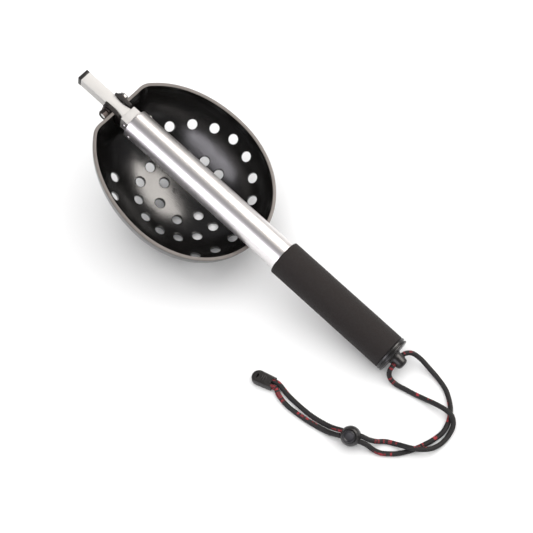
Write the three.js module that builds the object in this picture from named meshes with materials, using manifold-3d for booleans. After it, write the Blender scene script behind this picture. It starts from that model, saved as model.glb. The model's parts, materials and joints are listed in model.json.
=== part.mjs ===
// Folding perforated scoop: a round-bottomed bowl with rings of drain holes, hinged to a tubular
// aluminium handle that folds over it, with a foam grip and a wrist lanyard.
// Millimetres, +Z up. The folded scoop lies on the plane z = 0, handle towards +X.

import * as THREE from 'three';
import { mergeVertices } from 'three/addons/utils/BufferGeometryUtils.js';
import Module from 'manifold-3d';

const wasm = await Module();
wasm.setup();

// ---- Driving dimensions -------------------------------------------------------------------
const gap = 0.3; // running and assembly clearance between touching pieces

// How the folded scoop lies: the handle's axis slopes down to its butt.
const centreX = 110.9; // from the start of the tube to the middle of the object
const axisHeight = 79.6; // height of the handle's axis where the tube starts
const handleTilt = THREE.MathUtils.degToRad(13.54);

// Bowl, in its own frame: the middle of the rim plane, u along the handle, w up.
const rimTilt = THREE.MathUtils.degToRad(7.6); // rim plane against the handle's axis
const rimAlong = 57.1;
const rimDrop = 3.1;
const bowlCentre = 2.5;
const bowlNear = 83.7; // inner half lengths, half width and depth
const bowlFar = 72.9;
const bowlHalfWidth = 62.3;
const bowlDepth = 57;
const bowlWall = 2.8;
const planPower = 2.05; // the plan is a superellipse, a little squarer than an ellipse
const facetAt = -73.6; // inner face of the flat facet, at the rim
const facetDraft = THREE.MathUtils.degToRad(14);
const facetWall = 2.7;
const holeRadius = 4.1;
const holeDraw = 0.65; // 1 for holes drawn straight up out of the mould, 0 for holes square to the wall
// Each ring of holes: middle, half length, half width, how many, and the angle between them.
const holeRings = [
  { name: 'floor', at: 7.3, length: 19.8, width: 18.2, count: 6, step: 60 },
  { name: 'lower', at: 6.4, length: 36.1, width: 36.2, count: 14, step: 360 / 14 },
  { name: 'wall', at: 4.8, length: 56.4, width: 57.4, count: 17, step: 18.2 },
];

// Hinge, in the handle's frame: x along the handle from the start of the tube, z up from its axis.
const pivotAt = -23.3;
const boltRadius = 2.5;
const bracketInner = 5.4; // half width between the ears
const bracketOuter = 8;
const bracketTip = -28.8;
const bracketTop = 7.2;
const bracketBottom = -9;
const bracketEndRadius = 13.1; // inner ends rounded about the pivot, clear of the sleeve block
const lipThickness = 1.7;

// Bar, block and tube
const barHalf = 5.1;
const barWall = 1.3;
const barStart = -56.3;
const barEnd = 34;
const capEnd = -59.6;
const waistAt = -19.45; // the bar's sides are drawn in between the ears
const waistHalfLength = 9.45;
const waistDepth = 1.4;
const blockHalf = 7.65;
const blockStart = -9.7;
const tubeStart = -1.3;
const tubeRadius = 12.5;
const tubeBore = 11;
const tubeEnd = 272.7;
const tailRadius = tubeBore - gap;
const tailEnd = 30;
const sideRivetAt = -5.6;
const tubeRivetAt = 3.9;
const rivetHead = 1.9;
const rivetShank = 1.3;

// Grip and butt
const gripStart = 161;
const gripEnd = 273;
const gripRadius = 15;
const buttRadius = 15.3;
const buttFace = 277.8;
const nubEnd = 288.5;
const eyeAt = 282.4;
const eyeRadius = 2.6;

// Lanyard
const cordRadius = 2;
const cordSides = 8;
const lockRadius = 8;
const lockCentre = new THREE.Vector3(175.5, -70.9, 8.05);
const lockAlong = new THREE.Vector3(-0.929, -0.37, 0).normalize();
const lockUp = new THREE.Vector3(0.178, -0.447, 0.877).normalize();
const buttonRadius = 4.7;
const buttonTravel = 2;
const clipMouth = new THREE.Vector3(100.4, -74.9, 3.05);
const clipAlong = new THREE.Vector3(-0.968, -0.251, 0).normalize();
const clipLength = 19;
const clipHalfWidth = 5.8;
const clipHalfHeight = 3;

// The two strands, from the eye in the butt to the lock, and on from the lock to the clip.
const rightLoop = [
  [163.6, 0.4, 13.5], [163.6, 3.6, 13.5], [163.7, 7.2, 13.5], [167.2, 12.4, 11.6], [174.5, 14.4, 8.2], [183.1, 13.9, 4.8],
  [193.3, 12.4, 2.6], [204.3, 8.8, 2.1], [213, 2.8, 2.1], [218.3, -2.7, 2.1], [223, -10.9, 2.1],
  [225.2, -20.6, 2.1], [223.7, -30.1, 2.1], [220.4, -39.4, 2.1], [216.1, -48.5, 2.1],
  [210.2, -56.8, 2.1], [205, -61.4, 2.1], [200, -64.8, 2.1], [194.6, -66.6, 3], [189.3, -67.6, 5.4],
  [184, -69.5, 7.07],
];
const leftLoop = [
  [163.6, -0.4, 13.5], [163.6, -3.6, 13.5], [163.6, -7, 13.3], [164, -11.2, 9.8], [166.8, -13, 5.4],
  [173, -12.8, 2.5], [180, -11.4, 2.1], [188.6, -9.9, 2.1], [197.5, -8.4, 3.2], [207.8, -7, 5.6],
  [217.1, -6.5, 6.9], [223.2, -7.3, 6.4], [227.8, -11.2, 4.2], [230, -18.2, 2.3],
  [230.4, -27.6, 2.3], [227.8, -37.3, 4.2], [221.9, -44.7, 6.5], [216, -48.4, 6.9],
  [210.9, -50.2, 5.7], [205, -51.6, 3], [197, -55.1, 2.1], [192.2, -60, 3.7], [187.6, -64, 7.2],
  [182.6, -66, 9.14],
];
const rightTail = [
  [168.4, -75.8, 7.07], [162.4, -77.5, 4.6], [156, -78.6, 2.5], [145.9, -80.2, 2.1],
  [133.8, -81.3, 2.1], [119.4, -81.4, 2.1], [108.9, -79.1, 2.5], [103.7, -76.4, 3],
  [101, -77.1, 3.05], [97.6, -78, 3.05],
];
const leftTail = [
  [167, -72.3, 9.14], [161.2, -73.4, 6], [154.9, -74, 3], [141.9, -75.6, 2.1],
  [128.2, -75.6, 2.1], [114.3, -74.3, 2.1], [107.9, -73, 2.6], [102.2, -72.1, 3.05],
  [99.8, -72.7, 3.05], [96.4, -73.6, 3.05],
];

// ---- Materials ----------------------------------------------------------------------------
function finish(color, roughness, metalness) {
  return new THREE.MeshStandardMaterial({ color, roughness, metalness });
}
const glossBlack = () => finish(0x101011, 0.25, 0);
const satinBlack = () => finish(0x1c1a19, 0.5, 0);
const paleAluminium = () => finish(0xdcd9d4, 0.45, 0.8);
const brightSteel = () => finish(0xc8c8ca, 0.25, 1);
const foamBrown = () => finish(0x2a2321, 0.9, 0);
const cordBlack = () => finish(0x171415, 0.85, 0);

// ---- Solids -------------------------------------------------------------------------------
// A closed manifold-3d solid of a three.js geometry, for cutting and joining.
function solidOf(geometry) {
  const bare = new THREE.BufferGeometry();
  const loose = geometry.index ? geometry.toNonIndexed() : geometry;
  bare.setAttribute('position', loose.getAttribute('position').clone());
  const merged = mergeVertices(bare, 1e-4);
  const index = merged.index.array;
  const kept = [];
  for (let i = 0; i < index.length; i += 3) {
    const [a, b, c] = [index[i], index[i + 1], index[i + 2]];
    if (a !== b && b !== c && c !== a) kept.push(a, b, c);
  }
  const vertProperties = new Float32Array(merged.getAttribute('position').array);
  const triVerts = new Uint32Array(kept);
  return new wasm.Manifold(new wasm.Mesh({ numProp: 3, vertProperties, triVerts }));
}

function geometryOf(solid) {
  const { vertProperties, triVerts } = solid.getMesh();
  const geometry = new THREE.BufferGeometry();
  geometry.setAttribute('position', new THREE.BufferAttribute(vertProperties, 3));
  geometry.setIndex(new THREE.BufferAttribute(triVerts, 1));
  geometry.computeVertexNormals();
  return geometry;
}

function cut(geometry, ...tools) {
  return geometryOf(tools.reduce((left, tool) => left.subtract(solidOf(tool)), solidOf(geometry)));
}

function join(geometry, ...others) {
  return geometryOf(others.reduce((sum, other) => sum.add(solidOf(other)), solidOf(geometry)));
}

function common(geometry, other) {
  return geometryOf(solidOf(geometry).intersect(solidOf(other)));
}

// A box between two corners.
function block(x0, x1, y0, y1, z0, z1) {
  const box = new THREE.BoxGeometry(x1 - x0, y1 - y0, z1 - z0);
  return box.translate((x0 + x1) / 2, (y0 + y1) / 2, (z0 + z1) / 2);
}

// A cylinder along x, y or z, between two places on its axis.
function rod(axis, radius, from, to, centre = [0, 0, 0], sides = 14) {
  const cylinder = new THREE.CylinderGeometry(radius, radius, to - from, sides);
  if (axis === 'x') cylinder.rotateZ(-Math.PI / 2);
  if (axis === 'z') cylinder.rotateX(Math.PI / 2);
  const middle = new THREE.Vector3(...centre);
  middle[axis] += (from + to) / 2;
  return cylinder.translate(middle.x, middle.y, middle.z);
}

// A body turned about the x axis, from [x, radius] points with x rising.
function turned(profile, sides = 28) {
  const points = profile.map(([x, radius]) => new THREE.Vector2(radius, x));
  return new THREE.LatheGeometry(points, sides).rotateZ(-Math.PI / 2);
}

// An outline in the x, y plane raised from z0 to z1.
function raised(outline, z0, z1) {
  const shape = new THREE.Shape(outline.map(([x, y]) => new THREE.Vector2(x, y)));
  const solid = new THREE.ExtrudeGeometry(shape, { depth: z1 - z0, bevelEnabled: false });
  return solid.translate(0, 0, z0);
}

// An outline in the x, z plane, extruded from y0 to y1.
function sideways(outline, y0, y1) {
  return raised(outline, -y1, -y0).rotateX(Math.PI / 2);
}

// ---- Bowl ---------------------------------------------------------------------------------
// A point of the unit circle moved onto the superellipse of the plan.
function planPoint(x, y) {
  const bend = (value) => Math.sign(value) * Math.abs(value) ** (2 / planPower);
  const radius = Math.hypot(x, y);
  return radius === 0 ? [0, 0] : [radius * bend(x / radius), radius * bend(y / radius)];
}

// The solid below the rim plane: outset 0 is the hollow, outset bowlWall the outside.
function bowlBody(outset) {
  const turns = 48;
  const rings = 10;
  const profile = [];
  for (let i = 0; i <= rings; i += 1) {
    const angle = (i / rings) * (Math.PI / 2);
    profile.push(new THREE.Vector2(Math.sin(angle), -Math.cos(angle)));
  }
  profile[0].x = 0;
  const rise = outset > 0 ? 0 : 0.05;
  profile.push(new THREE.Vector2(1, rise), new THREE.Vector2(0, rise));
  const body = new THREE.LatheGeometry(profile, turns).rotateX(Math.PI / 2);
  const at = body.getAttribute('position');
  for (let i = 0; i < at.count; i += 1) {
    const [x, y] = planPoint(at.getX(i), at.getY(i));
    const half = (x < 0 ? bowlNear : bowlFar) + outset;
    const depth = bowlDepth + outset;
    at.setXYZ(i, bowlCentre + x * half, y * (bowlHalfWidth + outset), at.getZ(i) * depth);
  }
  return body;
}

// The half space on the bowl's side of the facet, as a large block.
function facetSide(outset) {
  const reach = 300;
  const side = block(-outset, reach, -reach, reach, -reach, reach);
  return side.rotateY(-facetDraft).translate(facetAt, 0, 0);
}

// Height of the hollow's floor at a place in plan.
function floorHeight(u, p) {
  const half = u < bowlCentre ? bowlNear : bowlFar;
  const x = Math.abs((u - bowlCentre) / half) ** planPower;
  const y = Math.abs(p / bowlHalfWidth) ** planPower;
  return -bowlDepth * Math.sqrt(1 - (x + y) ** (2 / planPower));
}

function drainHole(u, p) {
  const step = 0.5;
  const slopeU = (floorHeight(u + step, p) - floorHeight(u - step, p)) / (2 * step);
  const slopeP = (floorHeight(u, p + step) - floorHeight(u, p - step)) / (2 * step);
  const normal = new THREE.Vector3(-slopeU, -slopeP, 1).normalize();
  const way = normal.multiplyScalar(1 - holeDraw).add(new THREE.Vector3(0, 0, holeDraw)).normalize();
  const drill = new THREE.CylinderGeometry(holeRadius, holeRadius, 26, 10);
  drill.applyQuaternion(new THREE.Quaternion().setFromUnitVectors(new THREE.Vector3(0, 1, 0), way));
  return drill.translate(u, p, floorHeight(u, p));
}

function drainHoles() {
  return holeRings.flatMap(({ at, length, width, count, step }) => {
    const places = Array.from({ length: count }, (_, i) => (i - (count - 1) / 2) * step);
    const start = count * step > 359 ? step / 2 : 0;
    return places.map((degrees) => {
      const angle = THREE.MathUtils.degToRad(degrees + start);
      return drainHole(at + length * Math.cos(angle), width * Math.sin(angle));
    });
  });
}

function makeBowl(handleToBowl) {
  const outside = common(bowlBody(bowlWall), facetSide(facetWall));
  const hollow = common(bowlBody(0), facetSide(0));
  const notchHalf = bracketOuter + gap;
  const notch = block(-45, -11, -notchHalf, notchHalf, bracketBottom - gap, 30);
  return cut(outside, hollow, notch.applyMatrix4(handleToBowl), ...drainHoles());
}

// ---- Hinge --------------------------------------------------------------------------------
// How far the bar's sides are drawn in at a place along it.
function waist(x) {
  const along = (x - waistAt) / waistHalfLength;
  return Math.abs(along) < 1 ? waistDepth * Math.cos((along * Math.PI) / 2) ** 2 : 0;
}

// The ear seen from the side: rounded about the pivot at its inner end.
function earOutline() {
  const outline = [[bracketTip, 3.6], [bracketTip, -3.5], [-24.5, bracketBottom]];
  const low = Math.asin(bracketBottom / bracketEndRadius);
  const high = Math.asin(bracketTop / bracketEndRadius);
  const steps = 8;
  for (let i = 0; i <= steps; i += 1) {
    const angle = low + ((high - low) * i) / steps;
    const reach = bracketEndRadius;
    outline.push([pivotAt + reach * Math.cos(angle), reach * Math.sin(angle)]);
  }
  outline.push([-24.5, bracketTop]);
  return outline;
}

// A lip along the top of an ear that follows the bar's waist.
function lipOutline(side) {
  const steps = 10;
  const from = pivotAt - 5;
  const to = pivotAt + 10.5;
  const outline = [[from, side * (bracketInner + 1)]];
  for (let i = 0; i <= steps; i += 1) {
    const x = from + ((to - from) * i) / steps;
    const reach = Math.hypot(x - pivotAt, bracketTop);
    outline.push([x, side * (bracketInner - waist(pivotAt + reach))]);
  }
  outline.push([to, side * (bracketInner + 1)]);
  return side < 0 ? outline : outline.reverse();
}

function makeBracket() {
  const outline = earOutline();
  const ears = join(
    sideways(outline, bracketInner, bracketOuter),
    sideways(outline, -bracketOuter, -bracketInner),
    block(-17.2, -14, -bracketInner - 1, bracketInner + 1, bracketBottom, -bracketInner - 0.1),
    raised(lipOutline(1), bracketTop - lipThickness, bracketTop),
    raised(lipOutline(-1), bracketTop - lipThickness, bracketTop),
  );
  return cut(ears, rod('y', boltRadius + gap, -20, 20, [pivotAt, 0, 0]));
}

// Button head, shank and threaded end.
function makeBolt() {
  const profile = [
    [-13.6, 0], [-13.6, boltRadius - 0.4], [-13.2, boltRadius], [9.6, boltRadius], [9.6, 4.6],
    [11.2, 4.5], [12.6, 3.6], [13.2, 2.2], [13.3, 0],
  ];
  const bolt = turned(profile, 18).rotateZ(Math.PI / 2);
  return bolt.translate(pivotAt, 0, 0);
}

function makeNut() {
  const nut = new THREE.CylinderGeometry(4.6, 4.6, 4.6, 6).translate(pivotAt, -11.9, 0);
  return cut(nut, rod('y', boltRadius + gap, -20, 0, [pivotAt, 0, 0]));
}

function makeWasher(from) {
  const ring = rod('y', 5.4, from, from + 1, [pivotAt, 0, 0], 20);
  return cut(ring, rod('y', boltRadius + gap, from - 5, from + 6, [pivotAt, 0, 0]));
}

// ---- Bar, block and tube ------------------------------------------------------------------
// The bar's outline in plan, drawn in at the waist.
function barOutline(half, from, to) {
  const steps = 12;
  const places = [from];
  for (let i = 0; i <= steps; i += 1) {
    places.push(waistAt + waistHalfLength * ((2 * i) / steps - 1));
  }
  places.push(to);
  const near = places.map((x) => [x, -(half - waist(x))]);
  const far = places.map((x) => [x, half - waist(x)]).reverse();
  return [...near, ...far];
}

function makeBar() {
  const inside = barHalf - barWall;
  return cut(
    raised(barOutline(barHalf, barStart, barEnd), -barHalf, barHalf),
    raised(barOutline(inside, barStart - 1, barEnd + 1), -inside, inside),
    rod('y', boltRadius + gap, -10, 10, [pivotAt, 0, 0]),
    rod('y', rivetShank + gap, -10, 10, [sideRivetAt, 0, 0], 12),
  );
}

function makeCap() {
  const plug = barHalf - barWall - gap;
  const flange = block(capEnd, barStart - gap, -barHalf, barHalf, -barHalf, barHalf);
  return join(flange, block(capEnd + 1, barStart + 8, -plug, plug, -plug, plug));
}

// Square head outside the tube, round tail inside it, square bore for the bar.
function makeBlock() {
  const bore = barHalf + gap;
  const tail = turned([
    [tubeStart + gap, 0], [tubeStart + gap, tailRadius], [tailEnd, tailRadius], [tailEnd, 0],
  ]);
  return cut(
    join(block(blockStart, 2, -blockHalf, blockHalf, -blockHalf, blockHalf), tail),
    block(blockStart - 5, tailEnd + 5, -bore, bore, -bore, bore),
    rod('y', rivetShank + gap, -10, 10, [sideRivetAt, 0, 0], 12),
    rod('y', rivetShank + gap, -14, 14, [tubeRivetAt, 0, 0], 12),
  );
}

// A domed rivet whose head stands on the face at the distance given, on the side given.
function makeRivet(x, side, face, depth, tall = 1) {
  const head = face + gap;
  const profile = [
    [face - depth, 0], [face - depth, rivetShank], [head, rivetShank], [head, rivetHead],
    [head + 0.5 * tall, rivetHead - 0.2], [head + 0.9 * tall, rivetHead - 0.9], [head + tall, 0],
  ];
  return turned(profile, 12).rotateZ((side * Math.PI) / 2).translate(x, 0, 0);
}

function makeTube() {
  const profile = [
    [tubeStart, tubeBore], [tubeStart, tubeRadius], [tubeEnd, tubeRadius], [tubeEnd, tubeBore],
    [tubeStart, tubeBore],
  ];
  return cut(turned(profile, 36), rod('y', rivetShank + gap, -14, 14, [tubeRivetAt, 0, 0], 12));
}

// ---- Grip and butt ------------------------------------------------------------------------
function makeGrip() {
  const bore = tubeRadius + gap;
  return turned([
    [gripStart, bore], [gripStart, gripRadius - 1.6], [gripStart + 0.5, gripRadius - 0.6],
    [gripStart + 1.6, gripRadius], [gripEnd, gripRadius], [gripEnd, bore], [gripStart, bore],
  ], 32);
}

// Plug inside the tube, grooved flange behind the grip, tapered nub with the lanyard's eye.
function makeButt() {
  const butt = turned([
    [252, 0], [252, tailRadius], [tubeEnd + gap, tailRadius], [gripEnd + gap, tailRadius],
    [gripEnd + gap, buttRadius - 0.3], [gripEnd + 0.8, buttRadius], [275.3, buttRadius],
    [275.4, buttRadius - 0.8], [276.1, buttRadius - 0.8], [276.2, buttRadius - 0.2],
    [buttFace - 0.6, buttRadius - 0.2], [buttFace, buttRadius - 0.9], [buttFace, 6.2],
    [278.6, 5.6], [284, 5.2], [286.8, 4.8], [288, 3.8], [nubEnd, 2], [nubEnd, 0],
  ], 28);
  return cut(butt, rod('y', eyeRadius, -10, 10, [eyeAt, 0, 0]));
}

// ---- Lanyard ------------------------------------------------------------------------------
function makeCord(route) {
  const path = new THREE.CatmullRomCurve3(route.map((point) => new THREE.Vector3(...point)));
  const section = new THREE.Shape();
  for (let i = 0; i < cordSides; i += 1) {
    const angle = ((i + 0.5) / cordSides) * 2 * Math.PI;
    const [x, y] = [cordRadius * Math.cos(angle), cordRadius * Math.sin(angle)];
    if (i === 0) section.moveTo(x, y);
    else section.lineTo(x, y);
  }
  const steps = Math.round(path.getLength() / 9);
  return new THREE.ExtrudeGeometry(section, { steps, extrudePath: path, bevelEnabled: false });
}

// The lock's ball, bored for the button's yoke and cut across for the two cords.
function makeLockBody() {
  const ball = new THREE.SphereGeometry(lockRadius, 20, 14);
  const flat = block(-9, 9, -9, 9, 5, 9);
  const bore = rod('z', 5.5, -5.3, 12, [0, 0, 0], 18);
  const channel = block(-9, 9, -4.6, 4.6, -2.35, 2.35);
  return cut(ball, flat, bore, channel);
}

function makeLockRing() {
  const section = [[5.3, 5], [5.3, 6.4], [6.1, 6.4], [6.9, 5.7], [6.9, 5], [5.3, 5]];
  return turned(section, 20).rotateY(-Math.PI / 2);
}

// Round dished button on a yoke with a window for the cords.
function makeLockButton() {
  const body = turned([
    [-3, 0], [-3, 5.2], [5, 5.2], [5, buttonRadius], [8.7, buttonRadius], [9.3, buttonRadius - 0.6],
    [9.3, 3.9], [8.6, 3.1], [8.5, 0],
  ], 20).rotateY(-Math.PI / 2);
  return cut(body, block(-9, 9, -4.5, 4.5, -2.3, 2.3 + buttonTravel));
}

// One and a half turns of spring wire under the yoke.
function makeLockSpring() {
  const turns = 1.5;
  const steps = 18;
  const points = Array.from({ length: steps + 1 }, (_, i) => {
    const angle = (i / steps) * turns * 2 * Math.PI;
    return new THREE.Vector3(3.6 * Math.cos(angle), 3.6 * Math.sin(angle), (i / steps) * 1 - 4.65);
  });
  const wire = new THREE.Shape();
  wire.absarc(0, 0, 0.3, 0, 2 * Math.PI, false);
  return new THREE.ExtrudeGeometry(wire, {
    steps: 18, curveSegments: 3, bevelEnabled: false, extrudePath: new THREE.CatmullRomCurve3(points),
  });
}

// Half of the cord-end clip: x from the mouth to the rounded tip.
function clipHalf(z0, z1) {
  const shape = new THREE.Shape();
  const tip = clipLength - clipHalfWidth;
  shape.moveTo(0, -clipHalfWidth + 0.5);
  shape.lineTo(tip, -clipHalfWidth);
  shape.absarc(tip, 0, clipHalfWidth, -Math.PI / 2, Math.PI / 2, false);
  shape.lineTo(0, clipHalfWidth - 0.5);
  const solid = new THREE.ExtrudeGeometry(shape, { depth: z1 - z0, curveSegments: 10, bevelEnabled: false });
  solid.translate(0, 0, z0);
  const mouth = block(-1, 4.6, -4.8, 4.8, -2.35, 2.35);
  const slot = block(13.4, 15, -1.9, 1.9, -5, 5);
  return cut(solid, mouth, slot);
}

function makeClipCover() {
  const ribs = [6.6, 8.2, 9.8].map((x) => block(x, x + 0.7, -3, 3, clipHalfHeight - 0.6, clipHalfHeight));
  return join(clipHalf(gap / 2, clipHalfHeight - 0.4), ...ribs);
}

// ---- Assembly -----------------------------------------------------------------------------
const group = new THREE.Group();
const handleFrame = new THREE.Group();
handleFrame.position.set(-centreX, 0, axisHeight);
handleFrame.rotation.y = handleTilt;
const bowlFrame = new THREE.Group();
bowlFrame.position.set(rimAlong, 0, -rimDrop);
bowlFrame.rotation.y = rimTilt;
handleFrame.add(bowlFrame);
bowlFrame.updateMatrix();

const lockFrame = new THREE.Group();
const lockAcross = new THREE.Vector3().crossVectors(lockUp, lockAlong);
lockFrame.quaternion.setFromRotationMatrix(new THREE.Matrix4().makeBasis(lockAlong, lockAcross, lockUp));
lockFrame.position.copy(lockCentre);

const clipFrame = new THREE.Group();
clipFrame.rotation.z = Math.atan2(clipAlong.y, clipAlong.x);
clipFrame.position.copy(clipMouth);
group.add(handleFrame, lockFrame, clipFrame);

function add(parent, name, geometry, material) {
  const mesh = new THREE.Mesh(geometry, material);
  mesh.name = name;
  parent.add(mesh);
}

add(bowlFrame, 'bowl', makeBowl(bowlFrame.matrix.clone().invert()), glossBlack());

add(handleFrame, 'hinge_bracket', makeBracket(), satinBlack());
add(handleFrame, 'hinge_bolt', makeBolt(), brightSteel());
add(handleFrame, 'hinge_nut', makeNut(), brightSteel());
add(handleFrame, 'head_washer', makeWasher(bracketOuter + gap), brightSteel());
add(handleFrame, 'nut_washer', makeWasher(-bracketOuter - gap - 1), brightSteel());

add(handleFrame, 'pivot_bar', makeBar(), paleAluminium());
add(handleFrame, 'bar_end_cap', makeCap(), satinBlack());
add(handleFrame, 'sleeve_block', makeBlock(), paleAluminium());
add(handleFrame, 'handle_tube', makeTube(), paleAluminium());
for (const [side, label] of [[1, 'left'], [-1, 'right']]) {
  const inside = blockHalf - barHalf + barWall + 0.4;
  add(handleFrame, `block_rivet_${label}`, makeRivet(sideRivetAt, side, blockHalf, inside), brightSteel());
  add(handleFrame, `tube_rivet_${label}`, makeRivet(tubeRivetAt, side, tubeRadius, 5, side > 0 ? 1.7 : 1), brightSteel());
}

add(handleFrame, 'foam_grip', makeGrip(), foamBrown());
add(handleFrame, 'butt_cap', makeButt(), glossBlack());

add(group, 'lanyard_loop_right', makeCord(rightLoop), cordBlack());
add(group, 'lanyard_loop_left', makeCord(leftLoop), cordBlack());
add(group, 'lanyard_tail_right', makeCord(rightTail), cordBlack());
add(group, 'lanyard_tail_left', makeCord(leftTail), cordBlack());

add(lockFrame, 'lock_body', makeLockBody(), satinBlack());
add(lockFrame, 'lock_ring', makeLockRing(), satinBlack());
add(lockFrame, 'lock_button', makeLockButton(), satinBlack());
add(lockFrame, 'lock_spring', makeLockSpring(), brightSteel());

add(clipFrame, 'clip_base', clipHalf(-clipHalfHeight, -gap / 2), satinBlack());
add(clipFrame, 'clip_cover', makeClipCover(), satinBlack());

export default group;
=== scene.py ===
import json
import math

import bmesh
import bpy
import numpy as np
from mathutils import Matrix, Vector, noise


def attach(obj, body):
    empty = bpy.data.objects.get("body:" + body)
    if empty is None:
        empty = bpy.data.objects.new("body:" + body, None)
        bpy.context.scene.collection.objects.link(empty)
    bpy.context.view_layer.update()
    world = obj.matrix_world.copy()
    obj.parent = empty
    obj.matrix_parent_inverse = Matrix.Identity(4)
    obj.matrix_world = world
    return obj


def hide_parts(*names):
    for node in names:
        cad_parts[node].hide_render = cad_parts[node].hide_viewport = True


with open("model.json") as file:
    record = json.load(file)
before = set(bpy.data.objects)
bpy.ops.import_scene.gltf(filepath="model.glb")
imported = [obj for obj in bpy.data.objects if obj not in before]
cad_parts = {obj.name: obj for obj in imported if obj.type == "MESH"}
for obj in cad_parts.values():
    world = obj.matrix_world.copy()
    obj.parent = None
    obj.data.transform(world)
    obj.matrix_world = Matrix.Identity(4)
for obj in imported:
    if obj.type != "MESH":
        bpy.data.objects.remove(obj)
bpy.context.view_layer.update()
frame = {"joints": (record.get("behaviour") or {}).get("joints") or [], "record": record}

record = frame["record"]
mounts = {mount["name"]: mount for mount in record["mounts"]}
joints = {joint["name"]: joint for joint in frame["joints"]}

# ---- Places -------------------------------------------------------------------------------
# Pieces are built in millimetres in the frame of the sub-assembly that they belong to.
MM = 0.001
PIVOT_AT = -23.3  # the hinge bolt, along the handle from the start of the tube
RIM_FACE_AT = 64.0  # where the rim's mount lies, across the bowl
# The cord lock and the clip lie on the floor, in metres.
LOCK_CENTRE = Vector((0.1755, -0.0709, 0.00805))
LOCK_ALONG = Vector((-0.929, -0.37, 0.0))
CLIP_MOUTH = Vector((0.1004, -0.0749, 0.00305))
CLIP_ALONG = Vector((-0.968, -0.251, 0.0))


def place(origin, along, up):
    """The matrix of a millimetre frame: x along, z near up."""
    x = Vector(along).normalized()
    y = Vector(up).cross(x).normalized()
    turn = Matrix((x, y, x.cross(y))).transposed().to_4x4()
    return Matrix.Translation(origin) @ turn @ Matrix.Scale(MM, 4)


handle_along = -Vector(mounts["bar_cap_face"]["axis"])
handle_up = handle_along.cross(Vector((0, 1, 0)))
handle_start = Vector(joints["handle_fold"]["pos_m"]) - PIVOT_AT * MM * handle_along
HANDLE = place(handle_start, handle_along, handle_up)
rim_up = Vector(mounts["rim_face"]["axis"])
rim_middle = Vector(mounts["rim_face"]["pos_m"]) - Vector((0, RIM_FACE_AT * MM, 0))
BOWL = place(rim_middle, Vector((0, 1, 0)).cross(rim_up), rim_up)
LOCK = place(LOCK_CENTRE, LOCK_ALONG, -Vector(joints["lock_press"]["axis"]))
CLIP = place(CLIP_MOUTH, CLIP_ALONG, Vector((0, 0, 1)))
ROW = Matrix.Scale(MM, 4)

# ---- Camera -------------------------------------------------------------------------------
CAMERA_AT = Vector((0.4979, -0.4463, 1.1429))
CAMERA_TARGET = Vector((0.0240, 0.0014, 0.0))
CAMERA_ROLL = math.radians(-5.49)
CAMERA_LENS = 108.9


def make_camera():
    data = bpy.data.cameras.new("camera")
    data.lens = CAMERA_LENS
    data.clip_start = 0.01
    camera = bpy.data.objects.new("camera", data)
    bpy.context.scene.collection.objects.link(camera)
    back = (CAMERA_AT - CAMERA_TARGET).normalized()
    level = Vector((0, 0, 1)).cross(back).normalized()
    right = level * math.cos(CAMERA_ROLL) + back.cross(level) * math.sin(CAMERA_ROLL)
    turn = Matrix((right, back.cross(right), back)).transposed().to_4x4()
    camera.matrix_world = Matrix.Translation(CAMERA_AT) @ turn
    bpy.context.scene.camera = camera


make_camera()


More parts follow.
